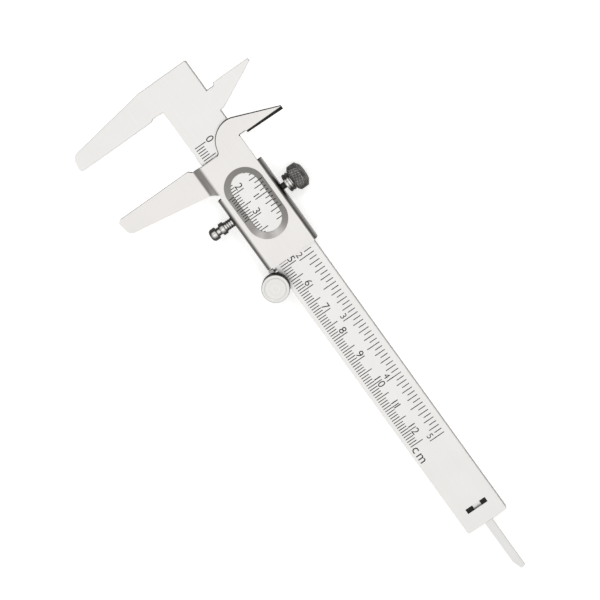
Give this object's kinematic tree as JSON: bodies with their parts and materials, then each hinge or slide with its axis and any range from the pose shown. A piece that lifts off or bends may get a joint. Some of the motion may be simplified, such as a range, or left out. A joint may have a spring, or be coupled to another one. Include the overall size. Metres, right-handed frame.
{
  "type": "vernier caliper",
  "caption": "Folded-sheet vernier caliper with outside and inside jaws, depth rod, bevelled reading window, knurled lock screw, finger post and thumb roller.",
  "frame": {"origin": "centre of the fixed outside jaw's measuring face, at mid thickness of the beam", "axes": "+X along the beam and the measuring axis, towards the depth rod's tip; +Y across the beam towards the inside jaws; +Z out of the face that carries the scales"},
  "size_m": [0.2079, 0.0678, 0.0112],
  "materials": {
    "satin_steel": "fine satin",
    "slider_steel": "fine satin",
    "rod_steel": "drawn satin",
    "turned_steel": "turned, fine rings",
    "rivet_steel": "satin",
    "spring_steel": "satin",
    "blackened_steel": "black oxide, satin gloss",
    "brass": "satin"
  },
  "bodies": {
    "beam": {"beam": "satin_steel", "rod_guide_clip": "blackened_steel"},
    "slider": {"slider_body": "slider_steel", "depth_rod": "rod_steel", "rod_carrier": "slider_steel", "carrier_rivets": "rivet_steel", "rod_pin": "rivet_steel", "gib_strip": "spring_steel", "finger_post": "blackened_steel", "roller_bracket": "slider_steel", "bracket_rivets": "rivet_steel"},
    "lock_pad": {"lock_pad": "brass"},
    "lock_screw": {"lock_screw": "blackened_steel"},
    "thumb_roller": {"thumb_roller": "turned_steel", "roller_washer": "rivet_steel"}
  },
  "joints": [
    {"name": "slider_slide", "type": "slide", "parent": "beam", "child": "slider", "axis": [1, 0, 0], "range_m": [-0.02048, 0.1055]},
    {"name": "lock_advance", "type": "slide", "parent": "slider", "child": "lock_pad", "axis": [0, 1, 0], "range_m": [0, 0.00045]},
    {"name": "lock_turn", "type": "hinge", "parent": "lock_pad", "child": "lock_screw", "pos_m": [0.0428, 0.0376, 0], "axis": [0, 1, 0], "range_deg": [0, 361]},
    {"name": "roller_turn", "type": "hinge", "parent": "slider", "child": "thumb_roller", "pos_m": [0.069, 0.0165, 0], "axis": [0, 0, 1], "range_deg": [-339, 1739]}
  ],
  "couplings": [
    {"joint": "lock_turn", "follows": "lock_advance", "rad_per_m": 13963},
    {"joint": "roller_turn", "follows": "slider_slide", "rad_per_m": 287.36}
  ]
}
